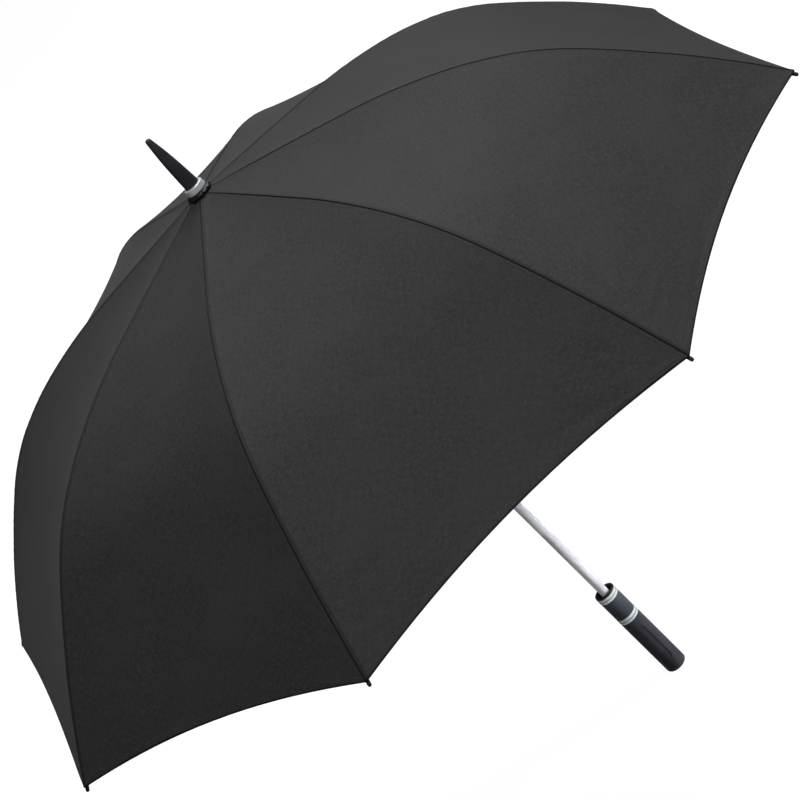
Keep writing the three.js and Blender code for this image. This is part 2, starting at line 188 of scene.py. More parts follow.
def swept(name, centres, radii, sides=16):
    """A round tube along a line in the XZ plane, closed by flat ends. radii may change along it."""
    centres = np.asarray(centres, float)
    tangents = np.gradient(centres, axis=0)
    tangents /= np.linalg.norm(tangents, axis=1)[:, None]
    side = np.array([0.0, 1.0, 0.0])
    vertices = []
    for c, t, r in zip(centres, tangents, radii):
        up = np.cross(side, t)
        for k in range(sides):
            a = 2 * math.pi * k / sides
            vertices.append(c + r * (math.cos(a) * side + math.sin(a) * up))
    return outward(link(name, vertices, tube_faces(len(centres), sides)))


def rounded_ends(radius, bevel, count):
    """Radii of a tube of constant radius whose two ends are bevelled over their last rings."""
    radii = np.full(count, float(radius))
    radii[0] = radii[-1] = radius - bevel
    return radii


def round_section(radius, around_r, z):
    """The profile of a turned round ring, centred at a radius and height."""
    angles = np.arange(12) * math.pi / 6
    return [(around_r + radius * math.cos(a), z + radius * math.sin(a)) for a in angles]


def block(name, x, y, z, matrix=None):
    corners = [(a, b, c) for a in x for b in y for c in z]
    faces = [(0, 1, 3, 2), (4, 6, 7, 5), (0, 4, 5, 1), (2, 3, 7, 6), (0, 2, 6, 4), (1, 5, 7, 3)]
    obj = link(name, corners, faces)
    if matrix:
        obj.data.transform(matrix)
    return outward(obj)


def pin(name, radius, length, matrix, sides=32, dome=0.25):
    """A cylinder along local Y with slightly domed ends."""
    profile = [(0, -length / 2), (radius - dome, -length / 2), (radius, -length / 2 + dome)]
    profile += [(r, -z) for r, z in profile[::-1]]
    obj = turned(name, soften(profile, dome), sides)
    obj.data.transform(matrix @ Matrix.Rotation(math.pi / 2, 4, "X"))
    return obj


def place(azimuth, radius, z, tilt=0.0):
    """A frame at a radius and height: X outward, Y along the tangent, Z up, then tilted about Y."""
    return (
        Matrix.Rotation(azimuth, 4, "Z")
        @ Matrix.Translation((radius * MM, 0, z * MM))
        @ Matrix.Rotation(tilt, 4, "Y")
    )


def apply_modifiers(obj):
    graph = bpy.context.evaluated_depsgraph_get()
    mesh = bpy.data.meshes.new_from_object(obj.evaluated_get(graph))
    obj.modifiers.clear()
    obj.data = mesh
    return obj


def combine(obj, others, operation):
    for other in others:
        modifier = obj.modifiers.new(operation, "BOOLEAN")
        modifier.object = other
        modifier.operation = operation
        modifier.solver = "EXACT"
    apply_modifiers(obj)
    for other in others:
        bpy.data.objects.remove(other)
    return obj


def bevelled(obj, width, segments=3, angle=40):
    modifier = obj.modifiers.new("edges", "BEVEL")
    modifier.width = width * MM
    modifier.segments = segments
    modifier.limit_method = "ANGLE"
    modifier.angle_limit = math.radians(angle)
    return apply_modifiers(obj)


def finished(obj, material, body, slot, *nodes):
    """Gives a piece its material and its body and hides the CAD nodes that it stands for; the slot argument
    is not used.
    """
    obj.data.materials.clear()
    obj.data.materials.append(material)
    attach(obj, body)
    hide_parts(*nodes)
    return obj


# ---------- fabric line ----------
def catmull_rom(points, per_span=60):
    """Samples of the centripetal Catmull-Rom curve through points."""
    padded = np.vstack([2 * points[0] - points[1], points, 2 * points[-1] - points[-2]])
    spans = []
    for i in range(len(points) - 1):
        a, b, c, d = padded[i : i + 4]
        t0, t1, t2 = (np.linalg.norm(q) ** 0.5 for q in (b - a, c - b, d - c))
        m1 = ((b - a) / t0 - (c - a) / (t0 + t1) + (c - b) / t1) * t1
        m2 = ((c - b) / t1 - (d - b) / (t1 + t2) + (d - c) / t2) * t1
        t = np.linspace(0, 1, per_span, endpoint=False)[:, None]
        spans.append(
            (2 * t**3 - 3 * t**2 + 1) * b
            + (t**3 - 2 * t**2 + t) * m1
            + (3 * t**2 - 2 * t**3) * c
            + (t**3 - t**2) * m2
        )
    return np.vstack([*spans, points[-1:]])


LINE = catmull_rom(np.array(FABRIC_LINE, float))
LINE_LENGTHS = np.concatenate([[0], np.cumsum(np.linalg.norm(np.diff(LINE, axis=0), axis=1))])
FABRIC_LENGTH = LINE_LENGTHS[-1]
LINE_TANGENTS = np.gradient(LINE, LINE_LENGTHS, axis=0)
LINE_TANGENTS /= np.linalg.norm(LINE_TANGENTS, axis=1)[:, None]


def on_line(length):
    """Radius, height and unit tangent of the fabric line at an arc length."""
    length = np.clip(length, 0, FABRIC_LENGTH)
    r, z, tr, tz = (
        np.interp(length, LINE_LENGTHS, values)
        for values in (LINE[:, 0], LINE[:, 1], LINE_TANGENTS[:, 0], LINE_TANGENTS[:, 1])
    )
    return r, z, tr, tz


def on_rib(length, depth):
    """Point in a rib's plane at a depth below the fabric, with the line's tilt there."""
    r, z, tr, tz = on_line(length)
    return float(r + tz * depth), float(z - tr * depth), math.atan2(-tz, tr)


def on_gore(along, across, depth):
    """Points of a gore in the frame of its own middle, which is turned to the gore's azimuth afterwards."""
    bow = 4 * across * (1 - across)
    r, z, tr, tz = on_line(along * (FABRIC_LENGTH - HEM_SCALLOP * bow))
    norm = np.hypot(tr, tz)
    down, out = -tz / norm, tr / norm
    chord = 2 * r * math.sin(HALF_ANGLE)
    sag = (SAG_AT_HUB + (SAG_AT_HEM - SAG_AT_HUB) * along) * chord * bow
    inward = sag + depth
    radius = r * math.cos(HALF_ANGLE) - down * inward
    edge = (r * math.cos(HALF_ANGLE) - down * depth) * math.tan(HALF_ANGLE)
    return np.stack([radius, (2 * across - 1) * edge, z - out * inward], axis=-1)


joint_length = 0.0
while on_rib(joint_length, RIB_DROP)[0] < JOINT_AT_R:
    joint_length += 0.5
joint_r, joint_z, joint_tilt = on_rib(joint_length, RIB_DROP)
pin_r, pin_z, _ = on_rib(joint_length, RIB_DROP + PIN_DROP)
RUNNER_Z = pin_z - math.sqrt(STRETCHER_LENGTH**2 - (pin_r - HINGE_R) ** 2)
PUSHER_Z = RUNNER_Z - 32
PUSHER_PLAY = 12
RUNNER_TRAVEL = 382.67


# ---------- materials ----------
class Look:
    """A procedural material under construction: a Principled shader with its texture nodes."""

    def __init__(self, name, roughness, metallic=0.0, coordinates="Object", **sockets):
        self.material = bpy.data.materials.new(name)
        self.material.use_nodes = True
        self.tree = self.material.node_tree
        self.shader = self.tree.nodes["Principled BSDF"]
        self.shader.inputs["Roughness"].default_value = roughness
        self.shader.inputs["Metallic"].default_value = metallic
        for socket, value in sockets.items():
            self.shader.inputs[socket.replace("_", " ")].default_value = value
        self.coordinates = self.add("ShaderNodeTexCoord").outputs[coordinates]
        self.normal = None

    def add(self, kind, **values):
        node = self.tree.nodes.new(kind)
        for key, value in values.items():
            setattr(node, key, value)
        return node

    def join(self, source, target):
        self.tree.links.new(source, target)

    def stretched(self, scale):
        node = self.add("ShaderNodeMapping")
        node.inputs["Scale"].default_value = scale
        self.join(self.coordinates, node.inputs["Vector"])
        return node.outputs["Vector"]

    def noise(self, scale, detail=4, stretch=(1, 1, 1), rough=0.55):
        node = self.add("ShaderNodeTexNoise")
        node.inputs["Scale"].default_value = scale
        node.inputs["Detail"].default_value = detail
        node.inputs["Roughness"].default_value = rough
        self.join(self.stretched(stretch), node.inputs["Vector"])
        return node.outputs["Fac"]

    def voronoi(self, scale):
        node = self.add("ShaderNodeTexVoronoi")
        node.inputs["Scale"].default_value = scale
        self.join(self.coordinates, node.inputs["Vector"])
        return node.outputs["Distance"]

    def attribute(self, name):
        return self.add("ShaderNodeAttribute", attribute_name=name).outputs["Fac"]

    def math(self, operation, *values):
        node = self.add("ShaderNodeMath", operation=operation)
        for socket, value in zip(node.inputs, values):
            if isinstance(value, (int, float)):
                socket.default_value = value
            else:
                self.join(value, socket)
        return node.outputs[0]

    def spread(self, value, low, high, to_low, to_high):
        node = self.add("ShaderNodeMapRange", interpolation_type="SMOOTHSTEP")
        for socket, number in zip(list(node.inputs)[1:5], (low, high, to_low, to_high)):
            socket.default_value = number
        self.join(value, node.inputs["Value"])
        return node.outputs["Result"]

    def mix(self, share, first, second):
        node = self.add("ShaderNodeMix", data_type="RGBA")
        sockets = [s for s in node.inputs if s.enabled]
        self.join(share, sockets[0])
        for socket, value in zip(sockets[1:], (first, second)):
            if isinstance(value, tuple):
                socket.default_value = (*value, 1)
            else:
                self.join(value, socket)
        return next(s for s in node.outputs if s.enabled)

    def bump(self, height, distance, strength=1.0):
        node = self.add("ShaderNodeBump")
        node.inputs["Distance"].default_value = distance * MM
        node.inputs["Strength"].default_value = strength
        self.join(height, node.inputs["Height"])
        if self.normal:
            self.join(self.normal, node.inputs["Normal"])
        self.normal = node.outputs["Normal"]

    def done(self, color=None, roughness=None):
        if color is not None:
            self.join(color, self.shader.inputs["Base Color"])
        if roughness is not None:
            self.join(roughness, self.shader.inputs["Roughness"])
        if self.normal:
            self.join(self.normal, self.shader.inputs["Normal"])
        return self.material


def plastic_look(name, dark, light, roughness, grain=0.03, grain_scale=1800, **sockets):
    """Moulded plastic: fine spark-eroded grain, faint cloudy tone and small gloss changes."""
    look = Look(name, roughness, **sockets)
    cloud = look.spread(look.noise(35, 3), 0.3, 0.7, 0, 1)
    look.bump(look.noise(grain_scale, 2), grain)
    gloss = look.spread(look.noise(120, 4), 0.3, 0.7, roughness - 0.06, roughness + 0.06)
    return look.done(look.mix(cloud, dark, light), gloss)


def ring_look(name, dark, light):
    """Painted trim ring with painted shade darkening its groove."""
    look = Look(name, 0.5, Specular_IOR_Level=0.2)
    cloud = look.spread(look.noise(35, 3), 0.3, 0.7, 0, 1)
    look.bump(look.noise(1500, 2), 0.02)
    shade = look.mix(cloud, dark, light)
    # Painted shade: the groove is mixed towards near black, broken up by noise.
    in_groove = look.attribute("groove")
    groove_shade = look.math("MULTIPLY", in_groove, look.spread(look.noise(400, 3), 0.2, 0.6, 0.6, 0.85))
    shade = look.mix(groove_shade, shade, (0.07, 0.075, 0.077))
    return look.done(shade, look.spread(look.noise(120, 4), 0.3, 0.7, 0.42, 0.58))


def drawn_metal_look(name, dark, light, roughness, streak):
    """Satin anodised aluminium with fine drawn lines along Z."""
    look = Look(name, roughness, metallic=0.3)
    fine = look.noise(900, 3, stretch=(1, 1, streak))
    tone = look.spread(look.noise(60, 3, stretch=(1, 1, streak * 3)), 0.3, 0.7, 0, 1)
    look.bump(fine, 0.012)
    gloss = look.spread(fine, 0.3, 0.7, roughness - 0.05, roughness + 0.07)
    return look.done(look.mix(tone, dark, light), gloss)


def fibre_look(name, dark, light):
    """Pultruded glass fibre in black resin: long faint streaks under a semi-gloss skin."""
    look = Look(name, 0.42, Specular_IOR_Level=0.4)
    streaks = look.noise(700, 3, stretch=(1, 1, 0.12))
    look.bump(streaks, 0.03)
    tone = look.spread(streaks, 0.35, 0.7, 0, 1)
    return look.done(look.mix(tone, dark, light), look.spread(streaks, 0.3, 0.7, 0.36, 0.5))


def soft_touch_look(name, dark, light):
    """Rubbery paint: velvety, with a very fine pebble."""
    look = Look(name, 0.62, Specular_IOR_Level=0.25, Sheen_Weight=0.05, Sheen_Roughness=0.4)
    look.bump(look.voronoi(1500), 0.035)
    look.bump(look.noise(3200, 2), 0.02)
    cloud = look.spread(look.noise(45, 4), 0.3, 0.7, 0, 1)
    grain = look.spread(look.noise(600, 2), 0.35, 0.65, 0, 0.45)
    shade = look.mix(grain, look.mix(cloud, dark, light), (0.011, 0.0115, 0.0145))
    # Painted shade: a near-black band along the wall of the grip's recess.
    shade = look.mix(look.math("MULTIPLY", look.attribute("recess_shade"), 0.85), shade, (0.003, 0.003, 0.004))
    return look.done(shade, look.spread(look.noise(160, 4), 0.3, 0.7, 0.55, 0.7))


def fabric_look(name):
    """Pongee: plain weave, slubs along warp and weft, topstitching beside each seam and along the hem."""
    look = Look(
        name, 0.75, coordinates="UV",
        Specular_IOR_Level=0.09, Sheen_Weight=0.03, Sheen_Roughness=0.3,
    )
    # UV is in metres: x across the gore, y along it.
    split = look.add("ShaderNodeSeparateXYZ")
    look.join(look.coordinates, split.inputs[0])
    across, along = split.outputs["X"], split.outputs["Y"]
    pitch = 2 * math.pi / (0.42 * MM)
    warp = look.math("SINE", look.math("MULTIPLY", across, pitch))
    weft = look.math("SINE", look.math("MULTIPLY", along, pitch))
    look.bump(look.math("MULTIPLY", warp, weft), 0.035, 0.6)
    slub_warp = look.noise(1100, 2, stretch=(1, 0.12, 1))
    slub_weft = look.noise(1100, 2, stretch=(0.12, 1, 1))
    slubs = look.math("ADD", slub_warp, slub_weft)
    look.bump(slubs, 0.09, 0.7)
    tone = look.spread(slubs, 0.8, 1.2, 0, 1)
    cloud = look.noise(9, 3)
    shade = look.mix(tone, (0.0165, 0.0165, 0.0172), (0.0395, 0.0395, 0.0405))
    speck = look.spread(look.noise(520, 1), 0.35, 0.65, 0, 0.55)
    shade = look.mix(speck, shade, (0.019, 0.019, 0.0198))
    shade = look.mix(look.spread(cloud, 0.3, 0.7, 0, 0.35), shade, (0.033, 0.033, 0.0342))
    # Stitches: short thread dashes in a line 4.7 mm from the seam and 5.9 mm above the hem.
    edge, hem = look.attribute("edge_mm"), look.attribute("hem_mm")
    stitch_pitch = 2 * math.pi / (2.6 * MM)
    stitches = None
    for distance, run, centre in ((edge, along, 4.7), (hem, across, 5.9)):
        dash = look.spread(look.math("SINE", look.math("MULTIPLY", run, stitch_pitch)), -0.5, 0.1, 0, 1)
        off = look.math("ABSOLUTE", look.math("SUBTRACT", distance, centre))
        line = look.math("MULTIPLY", look.spread(off, 0.1, 0.5, 1, 0), dash)
        stitches = line if stitches is None else look.math("MAXIMUM", stitches, line)
    look.bump(stitches, 0.25)
    shade = look.mix(look.math("MULTIPLY", stitches, 0.6), shade, (0.014, 0.014, 0.015))
    # Along the seam the cloth is painted darker, partly for the doubled cloth and partly as painted shade,
    # more so towards the tip.
    doubled_cloth_and_shade = look.math("MULTIPLY", look.attribute("band"), look.spread(hem, 60, 500, 0.6, 0.35))
    shade = look.mix(doubled_cloth_and_shade, shade, (0.010, 0.010, 0.011))
    # Painted shade: near-black lines in the dip of each seam and along the hem's edge.
    fold = look.math("MAXIMUM", look.spread(edge, 0.4, 2.2, 0.9, 0), look.spread(hem, 1.1, 2.8, 0.96, 0))
    shade = look.mix(fold, shade, (0.003, 0.003, 0.0034))
    return look.done(shade, look.spread(slubs, 0.7, 1.3, 0.66, 0.8))


FABRIC = fabric_look("pongee")
BLACK = plastic_look(
    "black_moulding", (0.006, 0.006, 0.007), (0.011, 0.011, 0.0125), 0.5, Specular_IOR_Level=0.3
)
FERRULE = plastic_look(
    "ferrule_moulding", (0.018, 0.018, 0.023), (0.028, 0.028, 0.035), 0.42, Specular_IOR_Level=0.42
)
SLATE = plastic_look(
    "slate_moulding", (0.024, 0.029, 0.037), (0.034, 0.040, 0.050), 0.5, Specular_IOR_Level=0.3
)
RING = ring_look("light_grey_moulding", (0.40, 0.43, 0.43), (0.48, 0.51, 0.51))
SOFT = soft_touch_look("soft_touch_paint", (0.018, 0.0185, 0.025), (0.030, 0.0305, 0.040))
FIBRE = fibre_look("glass_fibre", (0.010, 0.010, 0.011), (0.022, 0.022, 0.024))
SATIN = drawn_metal_look("satin_aluminium_finish", (0.58, 0.58, 0.64), (0.70, 0.70, 0.765), 0.3, 0.02)
COLLAR = drawn_metal_look("collar_finish", (0.42, 0.445, 0.475), (0.54, 0.57, 0.61), 0.4, 12)
STEEL = drawn_metal_look("spring_wire_finish", (0.40, 0.40, 0.41), (0.55, 0.55, 0.56), 0.3, 1)


# ---------- canopy ----------
EDGE_STEPS = [0, 0.45, 0.9, 1.5, 2.6, 3.9, 5.0, 5.6, 6.2, 7.4, 10, 15, 22, 31]  # columns beside a seam
MIDDLE_COLUMNS = 16
ROWS = 150
HEM_STEPS = [0, 0.5, 1.2, 2.4, 4.6, 5.6, 6.6, 7.6, 9.5, 13]  # rows beside the hem


def smoothstep(x):
    x = np.clip(x, 0, 1)
    return x * x * (3 - 2 * x)


def gore_columns(chord):
    """Across fractions of the grid's columns where the gore is chord wide."""
    steps = np.array(EDGE_STEPS) * min(1.0, chord / (2.6 * EDGE_STEPS[-1]))
    left = steps / chord
    middle = left[-1] + (1 - 2 * left[-1]) * np.arange(1, MIDDLE_COLUMNS) / MIDDLE_COLUMNS
    return np.concatenate([left, middle, 1 - left[::-1]])


def ripple(values, seed):
    """A smooth random wave of about unit height."""
    rng = np.random.default_rng(seed)
    out = np.zeros_like(values)
    for k in range(6):
        out += math.sqrt(1 / 3) * np.sin(values * rng.uniform(0.6, 1.6) + rng.uniform(0, 2 * math.pi))
    return out


def make_gore(i):
    hem_rows = 1 - np.array(HEM_STEPS[::-1]) / FABRIC_LENGTH
    alongs = np.concatenate([np.linspace(0, hem_rows[0], ROWS, endpoint=False), hem_rows])
    across, along = [], []
    for v in alongs:
        chord = 2 * on_line(v * FABRIC_LENGTH)[0] * math.sin(HALF_ANGLE)
        columns = gore_columns(float(chord))
        across.append(columns)
        along.append(np.full(len(columns), v))
    across, along = np.array(across), np.array(along)
    bow = 4 * across * (1 - across)
    row_length = FABRIC_LENGTH - HEM_SCALLOP * bow
    chord = 2 * on_line(along * FABRIC_LENGTH)[0] * math.sin(HALF_ANGLE)
    left, right = across * chord, (1 - across) * chord
    edge = np.minimum(left, right)
    hem = (1 - along) * row_length
    s = along * FABRIC_LENGTH

    # Felled seam: the allowance lies under this gore's left side, and the fabric dips into the seam line.
    near_hub = smoothstep(s / 60)
    band = smoothstep((SEAM_BAND + 0.5 - left) / 1.0) * smoothstep(left / 0.9)
    height = SEAM_RISE * band * near_hub
    height -= 0.55 * (1 - smoothstep(edge / 1.5)) * near_hub
    # Small puckers where the thread draws the cloth in.
    for side, distance, seed in ((left, left, 11 + i), (right, right, 11 + (i + 1) % RIBS)):
        pucker = ripple(s / 2.6, seed) * np.exp(-distance / 9) * smoothstep(distance / 2.5)
        height += 0.16 * pucker * near_hub
    # Rolled hem.
    height += HEM_RISE * smoothstep((HEM_BAND + 0.6 - hem) / 1.2) * smoothstep(hem / 0.8)
    hem_pucker = ripple(across * chord / 3.2, 50 + i) * np.exp(-hem / 10) * smoothstep(hem / 3)
    height += 0.18 * hem_pucker
    # Tension folds that run from each tip up and across the gore.
    for corner_across, seed in ((left, 90 + i), (right, 120 + i)):
        from_tip = np.hypot(corner_across, FABRIC_LENGTH - s)
        angle = np.arctan2(corner_across, FABRIC_LENGTH - s + 1e-6)
        fold = ripple(angle * 26, seed) * np.exp(-from_tip / 150) * smoothstep(from_tip / 30)
        height += 0.55 * fold * smoothstep(edge / 20)
    # Soft unevenness of stretched cloth.
    height += 0.7 * ripple(s / 60 + across * 3, 150 + i) * bow * along

    thickness = CLOTH + 0.5 * np.maximum(band * near_hub, smoothstep((HEM_BAND - hem) / 1.0))
    outer = on_gore(along, across, -height)
    inner = on_gore(along, across, thickness - np.minimum(height, 0.2))
    rows, columns = along.shape
    grid = np.arange(rows * columns).reshape(rows, columns)
    shift = rows * columns
    quads = np.stack([grid[:-1, :-1], grid[:-1, 1:], grid[1:, 1:], grid[1:, :-1]], axis=-1).reshape(-1, 4)
    faces = [tuple(int(v) for v in q) for q in quads]
    faces += [tuple(int(v) + shift for v in q[::-1]) for q in quads]
    rim = np.concatenate([grid[0, :-1], grid[:-1, -1], grid[-1, :0:-1], grid[:0:-1, 0]])
    for a, b in zip(rim, np.roll(rim, -1)):
        faces.append((int(b), int(a), int(a) + shift, int(b) + shift))

    # The mesh is first made flat, with each point's x taken from its across fraction, and then its points are
    # moved to the gore's shape.
    flat_x = 0.5 - np.sin(np.arcsin(1 - 2 * across) / 3)
    flat = np.stack([flat_x, along, np.zeros_like(along)], axis=-1).reshape(-1, 3)
    mesh = bpy.data.meshes.new(f"canopy_cloth_{i}")
    mesh.from_pydata(np.vstack([flat, flat]).tolist(), [], faces)
    obj = bpy.data.objects.new(f"canopy_cloth_{i}", mesh)
    bpy.context.scene.collection.objects.link(obj)
    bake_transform(obj)

    azimuth = i * RIB_ANGLE + HALF_ANGLE
    turn = np.array(Matrix.Rotation(azimuth, 3, "Z"))
    points = np.vstack([outer.reshape(-1, 3), inner.reshape(-1, 3)]) @ turn.T * MM
    mesh.vertices.foreach_set("co", points.astype(np.float32).ravel())
    flat_uv = np.stack([(across - 0.5) * chord * MM, s * MM], axis=-1).reshape(-1, 2)
    flat_uv = np.vstack([flat_uv, flat_uv])
    corners = np.zeros(len(mesh.loops), np.int32)
    mesh.loops.foreach_get("vertex_index", corners)
    mesh.uv_layers.new(name="cloth").data.foreach_set("uv", flat_uv[corners].astype(np.float32).ravel())
    # These distances and the seam band also steer the fabric's painted shade along seams and hem.
    for name, values in (("edge_mm", edge), ("hem_mm", hem), ("band", band * near_hub)):
        layer = mesh.attributes.new(name, "FLOAT", "POINT")
        layer.data.foreach_set("value", np.tile(values.ravel(), 2).astype(np.float32))
    mesh.update()
    smooth(obj, 60)
    mesh.materials.append(FABRIC)
    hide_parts(f"canopy_gore_{i}")


for i in range(RIBS):
    make_gore(i)


# ---------- ribs, tips, joints and stretchers ----------
def around(obj, names, material, bodies, slot, nodes):
    """Copies of a piece made at azimuth 0, one for each rib."""
    for i in range(RIBS):
        mesh = obj.data.copy()
        mesh.transform(Matrix.Rotation(i * RIB_ANGLE, 4, "Z"))
        copy = bpy.data.objects.new(f"{names}_{i}", mesh)
        bpy.context.scene.collection.objects.link(copy)
        finished(copy, material, f"{bodies}_{i}", slot, f"{nodes}_{i}")
    bpy.data.objects.remove(obj)


STRAIGHT_TO = 45  # arc length up to which a rib runs straight from its hinge
RIB_POINTS = 15
rib_line = [np.array([HINGE_R + 1.4, 0, CROWN_Z]), np.array([28, 0, CROWN_Z - 0.8])]
for i in range(1, RIB_POINTS + 1):
    r, z, _ = on_rib(STRAIGHT_TO + (FABRIC_LENGTH - STRAIGHT_TO) * i / RIB_POINTS, RIB_DROP)
    rib_line.append(np.array([r, 0, z]))
end_r, end_z, end_tilt = on_rib(FABRIC_LENGTH, RIB_DROP)
rib_line.append(np.array([end_r + ROD_END * math.cos(end_tilt), 0, end_z - ROD_END * math.sin(end_tilt)]))
rib_centres = catmull_rom(np.array(rib_line), per_span=6)
hub_eye = place(0, HINGE_R, CROWN_Z)
rib = swept("rib_rod", rib_centres, rounded_ends(ROD_R, 0.3, len(rib_centres)), 20)
combine(rib, [pin("eye", EYE_R, EYE_WIDTH, hub_eye)], "UNION")
combine(rib, [pin("hole", 1.1, EYE_WIDTH + 2, hub_eye)], "DIFFERENCE")
around(smooth(rib), "rib_fibre", FIBRE, "rib", "black_fibre", "rib")

tip_profile = [
    (ROD_R + 0.3, TIP_LOW), (TIP_R - 0.25, TIP_LOW), (TIP_R, TIP_LOW + 0.6), (TIP_R - 0.15, TIP_LOW + 1.5),
    (TIP_R, TIP_LOW + 2.4), (TIP_R, TIP_HIGH - 2.2), (TIP_R - 0.5, TIP_HIGH - 0.7), (TIP_R - 1.2, TIP_HIGH),
    (0, TIP_HIGH), (0, ROD_END + 0.3), (ROD_R + 0.3, ROD_END + 0.3),
]
tip = turned("tip", soften(tip_profile, 0.4), 32)
tip.data.transform(place(0, end_r, end_z, end_tilt) @ Matrix.Rotation(math.pi / 2, 4, "Y"))
around(smooth(outward(tip)), "rib_end_cap", BLACK, "rib", "black_plastic", "rib_tip")

CHEEK = 3.9
joint_frame = place(0, joint_r, joint_z, joint_tilt)
pin_frame = place(0, pin_r, pin_z)
joint_body = bevelled(block("joint", (-6, 6), (-CHEEK, CHEEK), (-9.3, 0.7), joint_frame), 1.1, 4)
rod_cut = pin("rod_cut", ROD_R + 0.3, 20, joint_frame @ Matrix.Rotation(math.pi / 2, 4, "Z"))
combine(joint_body, [block("slot", (-8, 8), (-1.8, 1.8), (-11, -3.4), joint_frame), rod_cut], "DIFFERENCE")
combine(joint_body, [pin("rivet", 1.0, 2 * CHEEK - 0.1, pin_frame)], "UNION")
around(smooth(joint_body), "rib_clevis", BLACK, "rib", "black_plastic", "rib_joint")

stretcher_tilt = -math.atan2(pin_z - RUNNER_Z, pin_r - HINGE_R)
foot_frame = place(0, HINGE_R, RUNNER_Z, stretcher_tilt)
UNDER_WIRE = -(WIRE_R + GAP + STRETCHER_R)
lean = math.atan2(-UNDER_WIRE, STRETCHER_LENGTH)
rod_frame = foot_frame @ Matrix.Translation((0, 0, UNDER_WIRE * MM)) @ Matrix.Rotation(-lean, 4, "Y")
rod_end = STRETCHER_LENGTH - 1.9
rod_x = np.concatenate([[-3, -2.6], np.linspace(0, STRETCHER_LENGTH - 6, 12), [rod_end - 0.4, rod_end]])
rod_centres = [np.array(rod_frame @ Vector((x * MM, 0, 0))) / MM for x in rod_x]
stretcher = swept("stretcher_rod", rod_centres, rounded_ends(STRETCHER_R, 0.3, len(rod_centres)), 20)
lip = bevelled(block("lip", (-3, -1.3), (-1.2, 1.2), (UNDER_WIRE, 0.2), foot_frame), 0.3, 2)
combine(stretcher, [lip, pin("eye", EYE_R, EYE_WIDTH, pin_frame)], "UNION")
combine(stretcher, [pin("hole", 1.3, EYE_WIDTH + 2, pin_frame)], "DIFFERENCE")
around(smooth(stretcher), "stretcher_fibre", FIBRE, "stretcher", "black_fibre", "stretcher")


# ---------- shaft, springs ----------
def stadium_cutter(name, width, height, azimuth, z, from_r, to_r, steps=10):
    """A rounded slot's cutter that runs outward along one azimuth."""
    radius = min(width, height) / 2
    half = max(width, height) / 2 - radius
    outline = []
    for k in range(2 * steps + 2):
        a = math.pi * (k if k <= steps else k - 1) / steps
        lift = half if k <= steps else -half
        outline.append((radius * math.cos(a), radius * math.sin(a) + lift))
    if width > height:
        outline = [(y, x) for x, y in outline]
    count = len(outline)
    vertices = [(from_r, y, h) for y, h in outline] + [(to_r, y, h) for y, h in outline]
    faces = [tuple(range(count)), tuple(range(count, 2 * count))[::-1]]
    for k in range(count):
        n = (k + 1) % count
        faces.append((k, k + count, n + count, n))
    obj = link(name, vertices, faces)
    obj.data.transform(Matrix.Rotation(azimuth, 4, "Z") @ Matrix.Translation((0, 0, z * MM)))
    return outward(obj)


shaft_profile = [(SHAFT_BORE_R, 12), (SHAFT_R, 12), (SHAFT_R, 950), (SHAFT_BORE_R, 950)]
shaft = turned("shaft_drawn_tube", soften(shaft_profile, 0.4), 96)
slot_low, slot_high = PUSHER_Z - RUNNER_TRAVEL - PUSHER_PLAY, PUSHER_Z + PUSHER_PLAY
slot_cut = stadium_cutter(
    "slot", 3.4, slot_high - slot_low, BUTTON_AZIMUTH, (slot_low + slot_high) / 2, 2, SHAFT_R + 2
)
combine(shaft, [slot_cut], "DIFFERENCE")
finished(smooth(shaft), SATIN, "frame", "satin_aluminium", "shaft_tube")


def coil(name, radius, wire, length, turns, per_turn=16, sides=8):
    """A compression spring along local Z with flat ends."""
    count = turns * per_turn + 1
    t = np.linspace(0, 1, count)
    angle = t * turns * 2 * math.pi
    centres = np.stack([radius * np.cos(angle), radius * np.sin(angle), t * length], axis=-1)
    pitch = length / turns
    rise = math.atan2(pitch, 2 * math.pi * radius)
    vertices = []
    for c, a in zip(centres, angle):
        out = np.array([math.cos(a), math.sin(a), 0])
        up = np.array([math.sin(a) * math.sin(rise), -math.cos(a) * math.sin(rise), math.cos(rise)])
        for k in range(sides):
            b = 2 * math.pi * k / sides
            vertices.append(c + wire * (math.cos(b) * out + math.sin(b) * up))
    return outward(link(name, vertices, tube_faces(count, sides)))


SPRING_LOW = 35.5
SPRING_COILS = 40
spring_length = PUSHER_Z - 3.1 - SPRING_LOW
spring = coil("main_spring_coil", 3.9, 0.6, spring_length, SPRING_COILS)
spring.data.transform(Matrix.Translation((0, 0, SPRING_LOW * MM)))
finished(smooth(spring), STEEL, "frame", "spring_steel", "main_spring")
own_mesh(spring)

BUTTON_SPRING_R = 6.85  # where the return spring stands on the shaft's side of the button
button_coil = coil("button_spring_coil", 1.7, 0.3, 5, 4)
button_axis = Matrix.Rotation(BUTTON_AZIMUTH, 4, "Z")
spring_foot = Matrix.Translation((BUTTON_SPRING_R * MM, 0, BUTTON_Z * MM))
button_coil.data.transform(button_axis @ spring_foot @ Matrix.Rotation(math.pi / 2, 4, "Y"))
finished(smooth(button_coil), STEEL, "frame", "spring_steel", "button_spring")
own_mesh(button_coil)


# ---------- crown, cap, collar and ferrule ----------
def notches(obj, low, high):
    cutters = []
    for i in range(RIBS):
        frame_i = place(i * RIB_ANGLE, 0, 0)
        half = NOTCH_WIDTH / 2
        cutters.append(block("notch", (NOTCH_ROOT_R, NOTCH_R + 4), (-half, half), (low, high), frame_i))
    return combine(obj, cutters, "DIFFERENCE")


